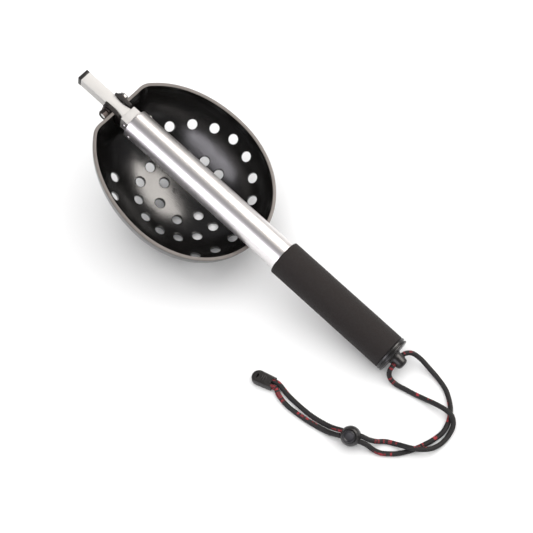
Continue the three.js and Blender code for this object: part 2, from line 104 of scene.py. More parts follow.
# ---- Node materials -----------------------------------------------------------------------
class Finish:
    """A material on a Principled shader, with short calls for the nodes that give its detail."""

    def __init__(self, name, color, roughness, metallic=0.0):
        self.material = bpy.data.materials.new(name)
        self.material.use_nodes = True
        self.tree = self.material.node_tree
        self.shader = self.tree.nodes["Principled BSDF"]
        self.set("Base Color", (*color, 1.0))
        self.set("Roughness", roughness)
        self.set("Metallic", metallic)
        self.bumps = None

    def set(self, socket, value):
        self.shader.inputs[socket].default_value = value

    def node(self, kind, **settings):
        made = self.tree.nodes.new(kind)
        for key, value in settings.items():
            setattr(made, key, value)
        return made

    def link(self, output, socket):
        self.tree.links.new(output, socket)

    def coordinates(self, scale):
        """Millimetres along and across the handle, stretched by scale."""
        source = self.node("ShaderNodeTexCoord")
        mapping = self.node("ShaderNodeMapping", vector_type="TEXTURE")
        mapping.inputs["Rotation"].default_value = HANDLE.to_euler()
        mapping.inputs["Scale"].default_value = [MM / part for part in scale]
        self.link(source.outputs["Object"], mapping.inputs["Vector"])
        return mapping.outputs["Vector"]

    def noise(self, size, scale=(1, 1, 1), detail=4.0):
        """Noise of a feature size in millimetres, stretched by scale."""
        texture = self.node("ShaderNodeTexNoise")
        texture.inputs["Scale"].default_value = 1 / size
        texture.inputs["Detail"].default_value = detail
        self.link(self.coordinates(scale), texture.inputs["Vector"])
        return texture.outputs["Fac"]

    def cells(self, size):
        """Distance from the middle of cells of a size in millimetres."""
        texture = self.node("ShaderNodeTexVoronoi", feature="F1")
        texture.inputs["Scale"].default_value = 1 / size
        self.link(self.coordinates((1, 1, 1)), texture.inputs["Vector"])
        return texture.outputs["Distance"]

    def ramp(self, value, low, high, start, end):
        """Maps value from low..high to start..end, clamped."""
        made = self.node("ShaderNodeMapRange")
        sockets = ("From Min", "From Max", "To Min", "To Max")
        for socket, number in zip(sockets, (low, high, start, end)):
            made.inputs[socket].default_value = number
        self.link(value, made.inputs["Value"])
        return made.outputs["Result"]

    def blend(self, factor, first, second):
        """A colour between two, by factor; each is a colour or an output."""
        mix = self.node("ShaderNodeMix", data_type="RGBA")
        self.link(factor, mix.inputs["Factor"])
        for socket, value in ((6, first), (7, second)):
            if isinstance(value, tuple):
                mix.inputs[socket].default_value = (*value, 1.0)
            else:
                self.link(value, mix.inputs[socket])
        return mix.outputs[2]

    def color(self, output):
        self.link(output, self.shader.inputs["Base Color"])

    def roughness(self, output):
        self.link(output, self.shader.inputs["Roughness"])

    def bump(self, height, depth):
        """Adds relief: height runs from 0 to 1, and depth is in millimetres."""
        made = self.node("ShaderNodeBump")
        made.inputs["Distance"].default_value = depth * MM
        self.link(height, made.inputs["Height"])
        if self.bumps:
            self.link(self.bumps, made.inputs["Normal"])
        self.bumps = made.outputs["Normal"]
        self.link(self.bumps, self.shader.inputs["Normal"])


def bowl_black():
    made = Finish("bowl_black", (0.005, 0.0045, 0.0045), 0.22)
    scratches = made.noise(0.5, (0.05, 1.0, 0.25), 3.0)
    clouds = made.noise(14, detail=3.0)
    made.set("IOR", 1.7)
    made.roughness(made.ramp(clouds, 0.3, 0.7, 0.17, 0.26))
    made.color(made.blend(clouds, (0.003, 0.003, 0.003), (0.007, 0.006, 0.0055)))
    made.bump(scratches, 0.05)
    made.bump(made.noise(1.1, detail=2.0), 0.02)
    return made.material


def rim_black():
    made = Finish("rim_black", (0.05, 0.046, 0.043), 0.45)
    scuffs = made.noise(0.7, (1.0, 0.3, 1.0), 5.0)
    painted_sheen_mottle = made.noise(9, detail=4.0)
    # The rim's light grey-brown is a painted sheen: the glint of the warm softbox on the rim, put into its
    # colour and mottled at random by noise.
    made.color(made.blend(painted_sheen_mottle, (0.10, 0.085, 0.075), (0.19, 0.165, 0.15)))
    made.roughness(made.ramp(scuffs, 0.3, 0.7, 0.36, 0.56))
    made.bump(scuffs, 0.04)
    return made.material


def moulded_black(name, color, roughness, grain=0.35):
    """Satin injection-moulded plastic with a fine spark-eroded grain."""
    made = Finish(name, color, roughness)
    tone = made.noise(5, detail=3.0)
    darker = tuple(0.75 * part for part in color)
    lighter = tuple(1.35 * part for part in color)
    made.color(made.blend(tone, darker, lighter))
    made.roughness(made.ramp(made.noise(1.6, detail=4.0), 0.3, 0.7, roughness - 0.08, roughness + 0.1))
    made.bump(made.noise(grain, detail=3.0), 0.02)
    return made.material


def tube_metal():
    """Satin anodised tube, drawn along its length."""
    made = Finish("tube_metal", (0.90, 0.90, 0.905), 0.34, 1.0)
    drawn = made.noise(0.22, (0.012, 1.0, 1.0), 4.0)
    tone = made.noise(16, (0.3, 1.0, 1.0), 3.0)
    made.color(made.blend(tone, (0.78, 0.76, 0.755), (0.84, 0.82, 0.815)))
    made.roughness(made.ramp(drawn, 0.3, 0.7, 0.36, 0.42))
    made.bump(drawn, 0.003)
    return made.material


def bar_metal():
    """Matt etched and anodised bar."""
    made = Finish("bar_metal", (0.50, 0.49, 0.47), 0.5, 0.3)
    grain = made.noise(0.3, (0.25, 1.0, 1.0), 5.0)
    tone = made.noise(7, (0.4, 1.0, 1.0), 3.0)
    made.color(made.blend(tone, (0.52, 0.505, 0.485), (0.59, 0.575, 0.555)))
    made.roughness(made.ramp(grain, 0.3, 0.7, 0.45, 0.58))
    made.bump(grain, 0.012)
    return made.material


def steel(name, color, roughness):
    made = Finish(name, color, roughness, 1.0)
    marks = made.noise(0.5, detail=5.0)
    tone = made.noise(2.5, detail=3.0)
    made.color(made.blend(tone, tuple(0.8 * part for part in color), color))
    made.roughness(made.ramp(marks, 0.3, 0.7, roughness - 0.06, roughness + 0.12))
    made.bump(marks, 0.01)
    return made.material


def foam_brown():
    """Ground closed-cell foam: open pores of two sizes, painted shade in the larger pores' pits, and a
    mottled tone.
    """
    made = Finish("foam_brown", (0.03, 0.022, 0.02), 0.85)
    pores = made.cells(0.55)
    fine = made.cells(0.26)
    mottle = made.noise(1.6, detail=5.0)
    tone = made.blend(mottle, (0.009, 0.0062, 0.0060), (0.019, 0.0138, 0.0125))
    # Painted shade: the colour goes near black in the middle of each larger pore, where its pit would lie
    # in shade.
    made.color(made.blend(made.ramp(pores, 0.08, 0.4, 0.55, 0.0), tone, (0.004, 0.003, 0.003)))
    made.roughness(made.ramp(mottle, 0.3, 0.7, 0.78, 0.95))
    made.bump(pores, 0.16)
    made.bump(fine, 0.07)
    made.set("Specular IOR Level", 0.35)
    made.set("Sheen Weight", 0.05)
    made.set("Sheen Roughness", 0.5)
    return made.material


def braid_black():
    """Braided yarn; the tracer yarn's colour comes from the tube's own attribute."""
    made = Finish("braid_black", (0.010, 0.0085, 0.009), 0.75)
    tracer = made.node("ShaderNodeAttribute", attribute_name="tracer")
    fibres = made.noise(0.09, (1.0, 1.0, 1.0), 3.0)
    tone = made.noise(1.2, detail=3.0)
    black = made.blend(tone, (0.003, 0.0026, 0.0028), (0.008, 0.0068, 0.007))
    red = made.blend(tone, (0.22, 0.006, 0.012), (0.36, 0.012, 0.022))
    made.color(made.blend(tracer.outputs["Fac"], black, red))
    made.roughness(made.ramp(fibres, 0.3, 0.7, 0.6, 0.9))
    made.bump(fibres, 0.05)
    made.set("Sheen Weight", 0.03)
    made.set("Sheen Roughness", 0.4)
    return made.material


MATERIALS = {
    "bowl": bowl_black(),
    "rim": rim_black(),
    "bracket": moulded_black("bracket_black", (0.008, 0.006, 0.0055), 0.42),
    "cap": moulded_black("cap_black", (0.010, 0.0075, 0.007), 0.4),
    "butt": moulded_black("butt_black", (0.006, 0.0052, 0.005), 0.36),
    "lock": moulded_black("lock_black", (0.008, 0.007, 0.007), 0.36),
    "button": moulded_black("button_black", (0.010, 0.0095, 0.012), 0.4),
    "clip": moulded_black("clip_black", (0.010, 0.0085, 0.008), 0.4),
    "nylon": moulded_black("nut_collar", (0.008, 0.008, 0.008), 0.6),
    "tube": tube_metal(),
    "bar": bar_metal(),
    "bolt": steel("bolt_steel", (0.74, 0.73, 0.71), 0.26),
    "nut": steel("nut_steel", (0.12, 0.10, 0.095), 0.34),
    "foam": foam_brown(),
    "braid": braid_black(),
}


# ---- Mesh building ------------------------------------------------------------------------
def piece(name, shape, where, body, material, replaces=(), angle=32):
    """A finished piece of the object: shape is (points, faces) in the frame where."""
    mesh = bpy.data.meshes.new(name)
    mesh.from_pydata([tuple(point) for point in shape[0]], [], shape[1])
    return dress(name, mesh, where, body, material, replaces, angle)


def dress(name, mesh, where, body, material, replaces=(), angle=32):
    """A finished piece of the object from a mesh that has no material yet."""
    mesh.materials.append(MATERIALS[material])
    outward(mesh)
    return finished(name, mesh, where, body, replaces, angle)


def finished(name, mesh, where, body, replaces=(), angle=32):
    """A finished piece of the object from a mesh that has its materials."""
    mesh.polygons.foreach_set("use_smooth", [True] * len(mesh.polygons))
    mesh.set_sharp_from_angle(angle=math.radians(angle))
    mesh.transform(where)
    made = bpy.data.objects.new(name, mesh)
    bpy.context.scene.collection.objects.link(made)
    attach(made, body)
    if replaces:
        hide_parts(*replaces)
    return made


def outward(mesh):
    """Turns every face to look out of the solid."""
    edit = bmesh.new()
    edit.from_mesh(mesh)
    bmesh.ops.recalc_face_normals(edit, faces=edit.faces)
    edit.to_mesh(mesh)
    edit.free()


def joined(*shapes):
    """Several shapes as one."""
    points, faces = [], []
    for part_points, part_faces in shapes:
        base = len(points)
        points += [tuple(point) for point in part_points]
        faces += [tuple(base + i for i in face) for face in part_faces]
    return points, faces


def loft(rings, closed=False, caps=True):
    """Faces between rings of points; a ring of one point is a pole."""
    points, faces, starts = [], [], []
    for ring in rings:
        starts.append(len(points))
        points += [tuple(point) for point in ring]
    pairs = list(zip(range(len(rings)), range(1, len(rings))))
    if closed:
        pairs.append((len(rings) - 1, 0))
    for a, b in pairs:
        count = max(len(rings[a]), len(rings[b]))
        for i in range(count):
            j = (i + 1) % count
            near = [starts[a] + i, starts[a] + j] if len(rings[a]) > 1 else [starts[a]]
            far = [starts[b] + j, starts[b] + i] if len(rings[b]) > 1 else [starts[b]]
            faces.append(tuple(near + far))
    if caps and not closed:
        for index in (0, len(rings) - 1):
            if len(rings[index]) > 1:
                faces.append(tuple(range(starts[index], starts[index] + len(rings[index]))))
    return points, faces


def softened(profile, closed=False, steps=4):
    """Rounds the corners of a profile of (x, radius, fillet) points."""
    corners = [(point[0], point[1], point[2] if len(point) > 2 else 0.0) for point in profile]
    out = []
    for i, (x, r, fillet) in enumerate(corners):
        inner = closed or 0 < i < len(corners) - 1
        here = Vector((x, r))
        if not inner or fillet <= 0:
            out.append(here)
            continue
        before = Vector(corners[i - 1][:2]) - here
        after = Vector(corners[(i + 1) % len(corners)][:2]) - here
        reach = min(fillet, 0.49 * before.length, 0.49 * after.length)
        start, end = here + before.normalized() * reach, here + after.normalized() * reach
        for k in range(steps + 1):
            t = k / steps
            out.append(start * (1 - t) ** 2 + here * 2 * t * (1 - t) + end * t * t)
    return out


def turned(profile, sides=96, closed=False, axis="x", at=(0, 0, 0), steps=4):
    """A body turned about an axis, from (place along it, radius, fillet) points."""
    rings = []
    for x, r in softened(profile, closed, steps):
        if r < 1e-6:
            rings.append([(x, 0, 0)])
            continue
        angles = [2 * math.pi * k / sides for k in range(sides)]
        rings.append([(x, r * math.cos(angle), r * math.sin(angle)) for angle in angles])
    points, faces = loft(rings, closed, caps=False)
    order = {"x": (0, 1, 2), "y": (2, 0, 1), "z": (1, 2, 0)}[axis]
    moved = [tuple(point[order[k]] + at[k] for k in range(3)) for point in points]
    return moved, faces


def rounded_box(low, high, radius, segments=3):
    """A box between two corners, with all its edges rounded."""
    edit = bmesh.new()
    bmesh.ops.create_cube(edit, size=1)
    for vertex in edit.verts:
        for k in range(3):
            vertex.co[k] = low[k] + (vertex.co[k] + 0.5) * (high[k] - low[k])
    bmesh.ops.bevel(
        edit, geom=edit.edges[:], offset=radius, segments=segments, affect="EDGES", profile=0.5
    )
    shape = [tuple(v.co) for v in edit.verts], [tuple(v.index for v in f.verts) for f in edit.faces]
    edit.free()
    return shape


def helper(label, part):
    """A throwaway object of a shape or a mesh, for modifiers to work on."""
    mesh = part
    if not isinstance(part, bpy.types.Mesh):
        mesh = bpy.data.meshes.new(label)
        mesh.from_pydata([tuple(point) for point in part[0]], [], part[1])
        outward(mesh)
    made = bpy.data.objects.new(label, mesh)
    bpy.context.scene.collection.objects.link(made)
    return made


def result_of(base, name, helpers):
    """The mesh that base's modifiers give; base and the helpers are then removed."""
    graph = bpy.context.evaluated_depsgraph_get()
    mesh = bpy.data.meshes.new_from_object(base.evaluated_get(graph))
    mesh.name = name
    for done in [base, *helpers]:
        bpy.data.objects.remove(done)
    return mesh


def add_boolean(base, kind, other):
    cut = base.modifiers.new(kind, "BOOLEAN")
    cut.operation = kind
    cut.object = other
    cut.solver = "EXACT"


def carved(name, shape, cutters=(), added=(), bevel=0.0):
    """The mesh of shape with others joined on and cutters taken away, its edges eased."""
    base = helper(name + "_base", shape)
    helpers = []
    for kind, parts in (("UNION", added), ("DIFFERENCE", cutters)):
        for index, part in enumerate(parts):
            helpers.append(helper(f"{name}_{kind}_{index}", part))
            add_boolean(base, kind, helpers[-1])
    if bevel:
        ease = base.modifiers.new("ease", "BEVEL")
        ease.width = bevel
        ease.segments = 3
        ease.limit_method = "ANGLE"
        ease.angle_limit = math.radians(40)
        ease.use_clamp_overlap = True
    return result_of(base, name, helpers)


def crossed(name, first, second, cutters):
    """What two shapes share, less the cutters."""
    base = helper(name + "_first", first)
    other = helper(name + "_second", second)
    add_boolean(base, "INTERSECT", other)
    return carved(name, result_of(base, name + "_shared", [other]), cutters)


# ---- Lanyard ------------------------------------------------------------------------------
CORD_RADIUS = 2.0  # mm
CARRIERS = 8  # yarns each way in the braid
BRAID_PITCH = 9.0  # mm along the cord for one yarn to go round
# The two strands, in metres: from the eye in the butt, through the lock, to the clip.
RIGHT_STRAND = [
    (0.1636, 0.0004, 0.0135), (0.1636, 0.0036, 0.0135), (0.1637, 0.0072, 0.0135),
    (0.1672, 0.0124, 0.0116), (0.1745, 0.0144, 0.0082), (0.1831, 0.0139, 0.0048),
    (0.1933, 0.0124, 0.0026), (0.2043, 0.0088, 0.0021), (0.2130, 0.0028, 0.0021),
    (0.2183, -0.0027, 0.0021), (0.2230, -0.0109, 0.0021), (0.2252, -0.0206, 0.0021),
    (0.2237, -0.0301, 0.0021), (0.2204, -0.0394, 0.0021), (0.2161, -0.0485, 0.0021),
    (0.2102, -0.0568, 0.0021), (0.2050, -0.0614, 0.0021), (0.2000, -0.0648, 0.0021),
    (0.1946, -0.0666, 0.0030), (0.1893, -0.0676, 0.0054), (0.1840, -0.0695, 0.00707),
    (0.1762, -0.07265, 0.00707),
    (0.1684, -0.0758, 0.00707), (0.1624, -0.0775, 0.0046), (0.1560, -0.0786, 0.0025),
    (0.1459, -0.0802, 0.0021), (0.1338, -0.0813, 0.0021), (0.1194, -0.0814, 0.0021),
    (0.1089, -0.0791, 0.0025), (0.1037, -0.0764, 0.0030), (0.1010, -0.0771, 0.00305),
    (0.0976, -0.0780, 0.00305),
]
LEFT_STRAND = [
    (0.1636, -0.0004, 0.0135), (0.1636, -0.0036, 0.0135), (0.1636, -0.0070, 0.0133),
    (0.1640, -0.0112, 0.0098), (0.1668, -0.0130, 0.0054), (0.1730, -0.0128, 0.0025),
    (0.1800, -0.0114, 0.0021), (0.1886, -0.0099, 0.0021), (0.1975, -0.0084, 0.0032),
    (0.2078, -0.0070, 0.0056), (0.2171, -0.0065, 0.0069), (0.2232, -0.0073, 0.0064),
    (0.2278, -0.0112, 0.0042), (0.2300, -0.0182, 0.0023), (0.2304, -0.0276, 0.0023),
    (0.2278, -0.0373, 0.0042), (0.2219, -0.0447, 0.0065), (0.2160, -0.0484, 0.0069),
    (0.2109, -0.0502, 0.0057), (0.2050, -0.0516, 0.0030), (0.1970, -0.0551, 0.0021),
    (0.1922, -0.0600, 0.0037), (0.1876, -0.0640, 0.0072), (0.1826, -0.0660, 0.00914),
    (0.1748, -0.06915, 0.00914),
    (0.1670, -0.0723, 0.00914), (0.1612, -0.0734, 0.0060), (0.1549, -0.0740, 0.0030),
    (0.1419, -0.0756, 0.0021), (0.1282, -0.0756, 0.0021), (0.1143, -0.0743, 0.0021),
    (0.1079, -0.0730, 0.0026), (0.1022, -0.0721, 0.00305), (0.0998, -0.0727, 0.00305),
    (0.0964, -0.0736, 0.00305),
]


def smooth_line(points, step):
    """A centripetal spline through the points, sampled at even steps."""
    knots = [Vector(point) for point in points]
    knots = [2 * knots[0] - knots[1], *knots, 2 * knots[-1] - knots[-2]]
    dense = []
    for i in range(1, len(knots) - 2):
        p0, p1, p2, p3 = knots[i - 1 : i + 3]
        t1 = (p1 - p0).length ** 0.5
        t2 = t1 + (p2 - p1).length ** 0.5
        t3 = t2 + (p3 - p2).length ** 0.5
        for k in range(24):
            t = t1 + (t2 - t1) * k / 24
            a1 = p0 * ((t1 - t) / t1) + p1 * (t / t1)
            a2 = p1 * ((t2 - t) / (t2 - t1)) + p2 * ((t - t1) / (t2 - t1))
            a3 = p2 * ((t3 - t) / (t3 - t2)) + p3 * ((t - t2) / (t3 - t2))
            b1 = a1 * ((t2 - t) / t2) + a2 * (t / t2)
            b2 = a2 * ((t3 - t) / (t3 - t1)) + a3 * ((t - t1) / (t3 - t1))
            dense.append(b1 * ((t2 - t) / (t2 - t1)) + b2 * ((t - t1) / (t2 - t1)))
    dense.append(knots[-2])
    line = np.array(dense)
    along = np.concatenate([[0], np.cumsum(np.linalg.norm(np.diff(line, axis=0), axis=1))])
    at = np.linspace(0, along[-1], round(along[-1] / step) + 1)
    return np.stack([np.interp(at, along, line[:, k]) for k in range(3)], axis=1), at


def braid_height(turn, along):
    """How high the yarns stand (0 to 1) round the cord at a place along it, and which is on top."""
    advance = along / BRAID_PITCH
    first = (turn + advance) * CARRIERS
    second = (turn - advance) * CARRIERS
    over = (np.floor(first) + np.floor(second)) % 2
    crown = np.where(over == 0, second % 1, first % 1)
    height = np.sqrt(np.clip(1 - (2 * crown - 1) ** 2, 0, 1))
    return height, over, np.floor(first), np.floor(second)


TRACER_RUN = 34.0  # mm: the tracer shows on one side for a while and then dives
TRACER_SHARE = 0.6
TRACER_YARNS = (1, 2)
FLECK_LENGTH = 1.5  # mm
CORD_SIDES = 48
CORD_STEP = 0.2  # mm
YARN_HEIGHT = 0.16  # mm


def strand(name, points, seed, body, twist):
    """A braided strand; gives its object, its middle line and its length in metres."""
    line, at = smooth_line(points, CORD_STEP * MM)
    ahead = np.gradient(line, axis=0)
    ahead /= np.linalg.norm(ahead, axis=1)[:, None]
    side = np.cross(ahead[0], (0, 0, 1.0))
    verts, tracer = [], []
    turn = np.arange(CORD_SIDES) / CORD_SIDES
    for i in range(len(line)):
        side = side - ahead[i] * (side @ ahead[i])
        side /= np.linalg.norm(side)
        up = np.cross(side, ahead[i])
        along = at[i] / MM
        height, over, first, second = braid_height(turn, along)
        wander = noise.noise(Vector((along * 0.07, seed, 0.0)))
        radius = (CORD_RADIUS - YARN_HEIGHT + YARN_HEIGHT * height) * (1 + 0.02 * wander)
        angle = 2 * math.pi * turn
        ring = line[i] / MM + radius[:, None] * (
            np.cos(angle)[:, None] * side + np.sin(angle)[:, None] * up
        )
        verts.append(ring)
        shows = (along + 20 * seed) % TRACER_RUN < TRACER_RUN * TRACER_SHARE
        facing = np.cos(angle - math.pi / 2 - twist - 0.05 * along) > 0.25
        yarn = (over == 0) & np.isin(second % CARRIERS, TRACER_YARNS)
        yarn |= (over == 1) & np.isin(first % CARRIERS, TRACER_YARNS)
        fleck = noise.cell(Vector((math.floor(along / FLECK_LENGTH), seed, 3.0))) > 0.0
        tracer.append((facing & shows & (yarn | (over == 0)) & fleck).astype(np.float32))
    shape = loft(verts)
    mesh = bpy.data.meshes.new(name)
    mesh.from_pydata([tuple(point) for point in shape[0]], [], shape[1])
    values = mesh.attributes.new("tracer", "FLOAT", "POINT")
    values.data.foreach_set("value", np.concatenate(tracer))
    made = dress(name, mesh, ROW, body, "braid", angle=80)
    return made, [tuple(point) for point in line], float(at[-1])


right_strand, right_path, right_length = strand("lanyard_right", RIGHT_STRAND, 0.3, "handle", 0.3)
left_strand, left_path, left_length = strand("lanyard_left", LEFT_STRAND, 1.6, "handle", -0.2)
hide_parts("lanyard_loop_right", "lanyard_tail_right")
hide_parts("lanyard_loop_left", "lanyard_tail_left")


# ---- Bowl ---------------------------------------------------------------------------------
BOWL_CENTRE = 2.5
BOWL_NEAR = 83.7
BOWL_FAR = 72.9
BOWL_HALF_WIDTH = 62.3
BOWL_DEPTH = 57.0
BOWL_WALL = 2.8
PLAN_POWER = 2.05
FACET_AT = -73.6
FACET_DRAFT = math.radians(14)
FACET_BLEND = 4.0  # how softly the facet runs into the round wall
HOLE_RADIUS = 4.1
HOLE_EASE = 0.75  # the rounding of a hole's edge
HOLE_DRAW = 0.65  # 1 for holes drawn straight up out of the mould, 0 for holes square to the wall
# Rings of holes: middle along the bowl, half length, half width, count, step in degrees.
HOLE_RINGS = [(7.3, 19.8, 18.2, 6, 60), (6.4, 36.1, 36.2, 14, 360 / 14), (4.8, 56.4, 57.4, 17, 18.2)]
GATE_AT = (-1.4, 2.1)  # the moulding gate's mark in the hollow
NOTCH_HALF = 8.3
NOTCH_FLOOR = -9.3
BOWL_TURNS = 240
BOWL_RINGS = 64


def bowl_ring(outset, share, height):
    """A ring of the bowl: outset from the hollow, its share of the full plan, its height."""
    angle = 2 * math.pi * (np.arange(BOWL_TURNS) + 0.5) / BOWL_TURNS
    x, y = np.cos(angle), np.sin(angle)
    x, y = (np.sign(value) * np.abs(value) ** (2 / PLAN_POWER) for value in (x, y))
    half = np.where(x < 0, BOWL_NEAR, BOWL_FAR) + outset
    u = BOWL_CENTRE + share * x * half
    p = share * y * (BOWL_HALF_WIDTH + outset)
    facet = FACET_AT - outset * 0.965 - height * math.tan(FACET_DRAFT)
    mix = np.clip(0.5 + 0.5 * (u - facet) / FACET_BLEND, 0, 1)
    u = facet + (u - facet) * mix + FACET_BLEND * mix * (1 - mix) * 0.5
    return np.stack([u, p, np.full_like(u, height)], axis=1)


def bowl_rings():
    """Rings from the hollow's middle up over the rim and down the outside."""
    rings = [[(BOWL_CENTRE, 0, -BOWL_DEPTH)]]
    for k in range(1, BOWL_RINGS):
        angle = math.radians(89.3) * k / (BOWL_RINGS - 1)
        rings.append(bowl_ring(0, math.sin(angle), -BOWL_DEPTH * math.cos(angle)))
    lip = [(0.05, -0.3), (0.18, -0.1), (0.5, 0), (BOWL_WALL / 2, 0.0)]
    lip += [(BOWL_WALL - 0.5, 0), (BOWL_WALL - 0.17, -0.1), (BOWL_WALL - 0.04, -0.3)]
    rings += [bowl_ring(outset, 1, height) for outset, height in lip]
    for k in range(BOWL_RINGS - 1, 0, -1):
        angle = math.radians(89.3) * k / (BOWL_RINGS - 1)
        height = -(BOWL_DEPTH + BOWL_WALL) * math.cos(angle)
        rings.append(bowl_ring(BOWL_WALL, math.sin(angle), height))
    rings.append([(BOWL_CENTRE, 0, -BOWL_DEPTH - BOWL_WALL)])
    return rings


def hollow_floor(u, p):
    """The hollow's height at a place along (u) and across (p) the bowl."""
    half = BOWL_NEAR if u < BOWL_CENTRE else BOWL_FAR
    x = abs((u - BOWL_CENTRE) / half) ** PLAN_POWER
    y = abs(p / BOWL_HALF_WIDTH) ** PLAN_POWER
    return -BOWL_DEPTH * math.sqrt(1 - (x + y) ** (2 / PLAN_POWER))


def on_hollow(u, p):
    """The frame on the hollow's surface: x up the slope, z along the way that holes are drawn."""
    step = 0.5
    slope_u = (hollow_floor(u + step, p) - hollow_floor(u - step, p)) / (2 * step)
    slope_p = (hollow_floor(u, p + step) - hollow_floor(u, p - step)) / (2 * step)
    normal = Vector((-slope_u, -slope_p, 1)).normalized()
    way = normal * (1 - HOLE_DRAW) + Vector((0, 0, HOLE_DRAW))
    way /= way.dot(normal)
    across = normal.cross(Vector((0, 0, 1)) if normal.z < 0.9999 else Vector((1, 0, 0))).normalized()
    uphill = across.cross(normal) * way.length
    turn = Matrix((uphill, across, way)).transposed().to_4x4()
    return Matrix.Translation((u, p, hollow_floor(u, p))) @ turn


def moved(shape, matrix):
    return [tuple(matrix @ Vector(point)) for point in shape[0]], shape[1]


def hole_drill():
    """The shape of a drain hole, widening in a rounded edge where it comes into the hollow."""
    profile = [(-12, 0), (-12, HOLE_RADIUS), (-HOLE_EASE, HOLE_RADIUS)]
    for k in range(1, 6):
        angle = math.pi / 2 * k / 5
        radius = HOLE_RADIUS + HOLE_EASE * (1 - math.cos(angle))
        profile.append((HOLE_EASE * (math.sin(angle) - 1), radius))
    profile += [(5, HOLE_RADIUS + 1.6), (5, 0)]
    return turned(profile, sides=40, axis="z")


def hole_places():
    for at, length, width, count, step in HOLE_RINGS:
        start = step / 2 if count * step > 359 else 0
        for k in range(count):
            angle = math.radians((k - (count - 1) / 2) * step + start)
            yield at + length * math.cos(angle), width * math.sin(angle)


def make_bowl():
    points, faces = loft(bowl_rings())
    mesh = bpy.data.meshes.new("bowl_body")
    mesh.from_pydata([tuple(point) for point in points], [], faces)
    mesh.materials.append(MATERIALS["bowl"])
    mesh.materials.append(MATERIALS["rim"])
    outward(mesh)
    heights = np.array([face.center.z for face in mesh.polygons])
    mesh.polygons.foreach_set("material_index", (heights > -0.25).astype(np.int32))
    drills = [moved(hole_drill(), on_hollow(u, p)) for u, p in hole_places()]
    to_bowl = BOWL.inverted() @ HANDLE
    notch = rounded_box((-45, -NOTCH_HALF, NOTCH_FLOOR), (-11, NOTCH_HALF, 30), 0.8)
    mesh = carved("bowl_shell", mesh, [joined(*drills), moved(notch, to_bowl)])
    while len(mesh.materials) > 2:  # slots that the cutters brought along
        mesh.materials.pop()
    made = finished("bowl_shell", mesh, BOWL, "bowl", ("bowl",), 38)
    weigh = made.modifiers.new("weigh", "WEIGHTED_NORMAL")
    weigh.keep_sharp = True
    profile = [(-0.6, 0), (-0.6, 2.3), (0.25, 2.3, 0.3), (0.45, 1.6, 0.2), (-0.15, 1.1, 0.3), (-0.3, 0)]
    gate = turned(profile, 48, axis="z")
    piece("bowl_gate_mark", moved(gate, on_hollow(*GATE_AT)), BOWL, "bowl", "bowl")


make_bowl()

# ---- Hinge --------------------------------------------------------------------------------
BOLT_RADIUS = 2.5
EAR_INNER = 5.4
EAR_OUTER = 8.0
EAR_TIP = -28.8
EAR_TOP = 7.2
EAR_BOTTOM = -9.0
EAR_REACH = 13.1
LIP_THICK = 1.7
BAR_HALF = 5.1
WAIST_AT = -19.45
WAIST_HALF = 9.45
WAIST_DEPTH = 1.4


def waist(x):
    """How far the bar's sides are drawn in at a place along it."""
    along = (x - WAIST_AT) / WAIST_HALF
    return WAIST_DEPTH * math.cos(along * math.pi / 2) ** 2 if abs(along) < 1 else 0.0


def slab(outline, low, high, axis):
    """A closed outline raised along an axis: 'y' takes (x, z) points and 'z' takes (x, y)."""
    spot = (lambda a, b, h: (a, h, b)) if axis == "y" else (lambda a, b, h: (a, b, h))
    return loft([[spot(a, b, low) for a, b in outline], [spot(a, b, high) for a, b in outline]])


def make_bracket():
    outline = [(EAR_TIP, 3.6), (EAR_TIP, -3.5), (-24.5, EAR_BOTTOM)]
    low, high = math.asin(EAR_BOTTOM / EAR_REACH), math.asin(EAR_TOP / EAR_REACH)
    for k in range(25):
        angle = low + (high - low) * k / 24
        outline.append((PIVOT_AT + EAR_REACH * math.cos(angle), EAR_REACH * math.sin(angle)))
    outline.append((-24.5, EAR_TOP))
    left = slab(outline, EAR_INNER, EAR_OUTER, "y")
    right = slab(outline, -EAR_OUTER, -EAR_INNER, "y")
    start, end = PIVOT_AT - 5, PIVOT_AT + 10.5
    places = [start + (end - start) * k / 32 for k in range(33)]
    reach = [EAR_INNER - waist(PIVOT_AT + math.hypot(x - PIVOT_AT, EAR_TOP)) for x in places]
    lips = []
    for side in (1, -1):
        inner = [(x, side * y) for x, y in zip(places, reach)]
        edge = [(start, side * (EAR_INNER + 1)), *inner, (end, side * (EAR_INNER + 1))]
        lips.append(slab(edge, EAR_TOP - LIP_THICK, EAR_TOP, "z"))
    plate = rounded_box((-17.2, -EAR_INNER - 1, EAR_BOTTOM), (-14, EAR_INNER + 1, -EAR_INNER - 0.1), 0.2)
    bore = turned([(-20, 0), (-20, 2.8), (20, 2.8), (20, 0)], 48, axis="y", at=(PIVOT_AT, 0, 0))
    mesh = carved("hinge_ears", left, [bore], [right, *lips, plate], bevel=0.28)
    dress("hinge_ears", mesh, HANDLE, "bowl", "bracket", ["hinge_bracket"])


def hexagon(across, low, high, at_x):
    """A hexagonal bar along y, with its corners turned down at both ends."""
    corner = across / math.sqrt(3)
    at = (at_x, 0, 0)
    prism = turned([(low, 0), (low, corner), (high, corner), (high, 0)], 6, axis="y", at=at)
    face = across / 2 - 0.1
    wide = corner + 0.1
    profile = [(low, 0), (low, face), (low + 0.7, wide), (high - 0.7, wide), (high, face), (high, 0)]
    cone = turned(profile, 64, axis="y", at=at)
    return prism, cone


def thread(start, end, radius, pitch=0.8, depth=0.25, sides=40):
    """A threaded shank along y."""
    rings = []
    count = round((end - start) / (pitch / 8))
    for k in range(count + 1):
        y = start + (end - start) * k / count
        ring = []
        for i in range(sides):
            turn = i / sides
            phase = ((y / pitch) + turn) % 1
            r = radius - depth * abs(2 * phase - 1)
            angle = 2 * math.pi * turn
            ring.append((r * math.cos(angle), y, r * math.sin(angle)))
        rings.append(ring)
    return loft(rings)


